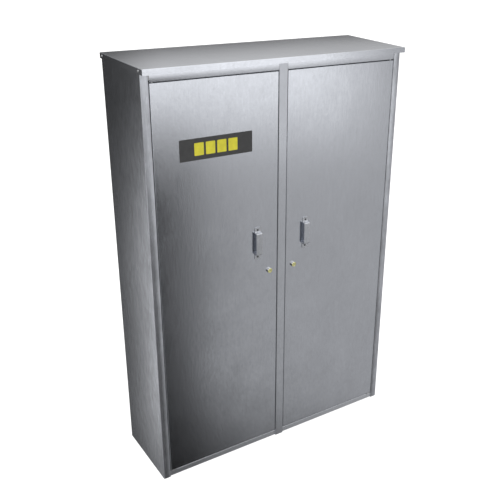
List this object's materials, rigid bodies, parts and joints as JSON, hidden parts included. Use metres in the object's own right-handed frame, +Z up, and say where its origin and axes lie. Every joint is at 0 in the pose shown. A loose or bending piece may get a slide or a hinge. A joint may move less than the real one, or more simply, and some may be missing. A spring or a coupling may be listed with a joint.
{
  "type": "two-door gas cylinder cabinet",
  "caption": "Tall free-standing sheet-metal cabinet with two lockable hinged doors, a centre post, pull handles, an overhanging lid and a cradle for standing gas cylinders.",
  "frame": {"origin": "on the floor, under the centre of the whole object", "axes": "+Z up, front with the doors towards -Y, left door (as seen from the front) at -X"},
  "size_m": [1.209, 0.408, 1.8],
  "materials": {
    "galvanised_sheet": "satin zinc-coated sheet with a fine vertical grain",
    "galvanised_panel": "satin zinc-coated panel with a fine vertical grain",
    "zinc_fastener": "zinc-plated steel, semi-bright",
    "handle_steel": "bent zinc-plated strip, satin",
    "brass": "bright brass",
    "sign_black": "matt dark plastic plate",
    "sign_yellow": "matt yellow film",
    "nylon": "natural nylon"
  },
  "bodies": {
    "cabinet_body": {"lid": "galvanised_sheet", "left_side_panel": "galvanised_panel", "right_side_panel": "galvanised_panel", "rear_panel": "galvanised_panel", "floor_pan": "galvanised_sheet", "centre_post": "galvanised_sheet", "left_header": "galvanised_sheet", "right_header": "galvanised_sheet", "cylinder_cradle": "zinc_fastener", "left_upper_pivot_bracket": "zinc_fastener", "left_upper_hinge_pin": "zinc_fastener", "left_lower_pivot_plate": "zinc_fastener", "left_lower_hinge_pin": "zinc_fastener", "left_pivot_washer": "nylon", "lid_screw_left_front": "zinc_fastener", "lid_screw_left_rear": "zinc_fastener", "right_upper_pivot_bracket": "zinc_fastener", "right_upper_hinge_pin": "zinc_fastener", "right_lower_pivot_plate": "zinc_fastener", "right_lower_hinge_pin": "zinc_fastener", "right_pivot_washer": "nylon", "lid_screw_right_front": "zinc_fastener", "lid_screw_right_rear": "zinc_fastener"},
    "left_door_body": {"left_door": "galvanised_panel", "left_door_stiffener": "zinc_fastener", "left_door_lower_pivot_plate": "zinc_fastener", "left_door_upper_pivot_plate": "zinc_fastener", "left_handle": "handle_steel", "left_handle_upper_screw": "zinc_fastener", "left_handle_upper_nut": "zinc_fastener", "left_handle_lower_screw": "zinc_fastener", "left_handle_lower_nut": "zinc_fastener", "left_lock_body": "brass", "left_lock_nut": "zinc_fastener", "sign_plate": "sign_black", "sign_mark_1": "sign_yellow", "sign_mark_2": "sign_yellow", "sign_mark_3": "sign_yellow", "sign_mark_4": "sign_yellow"},
    "left_lock_turn": {"left_lock_plug": "brass", "left_lock_cam": "zinc_fastener", "left_cam_screw": "zinc_fastener"},
    "right_door_body": {"right_door": "galvanised_panel", "right_door_stiffener": "zinc_fastener", "right_door_lower_pivot_plate": "zinc_fastener", "right_door_upper_pivot_plate": "zinc_fastener", "right_handle": "handle_steel", "right_handle_upper_screw": "zinc_fastener", "right_handle_upper_nut": "zinc_fastener", "right_handle_lower_screw": "zinc_fastener", "right_handle_lower_nut": "zinc_fastener", "right_lock_body": "brass", "right_lock_nut": "zinc_fastener"},
    "right_lock_turn": {"right_lock_plug": "brass", "right_lock_cam": "zinc_fastener", "right_cam_screw": "zinc_fastener"}
  },
  "joints": [
    {"name": "left_door_hinge", "type": "hinge", "parent": "cabinet_body", "child": "left_door_body", "pos_m": [-0.553, -0.1675, 0.9], "axis": [0, 0, -1], "range_deg": [0, 120]},
    {"name": "right_door_hinge", "type": "hinge", "parent": "cabinet_body", "child": "right_door_body", "pos_m": [0.553, -0.1675, 0.9], "axis": [0, 0, 1], "range_deg": [0, 120]},
    {"name": "left_lock_turn_joint", "type": "hinge", "parent": "left_door_body", "child": "left_lock_turn", "pos_m": [-0.062, -0.1745, 0.892], "axis": [0, -1, 0], "range_deg": [0, 90]},
    {"name": "right_lock_turn_joint", "type": "hinge", "parent": "right_door_body", "child": "right_lock_turn", "pos_m": [0.062, -0.1745, 0.892], "axis": [0, 1, 0], "range_deg": [0, 90]}
  ]
}
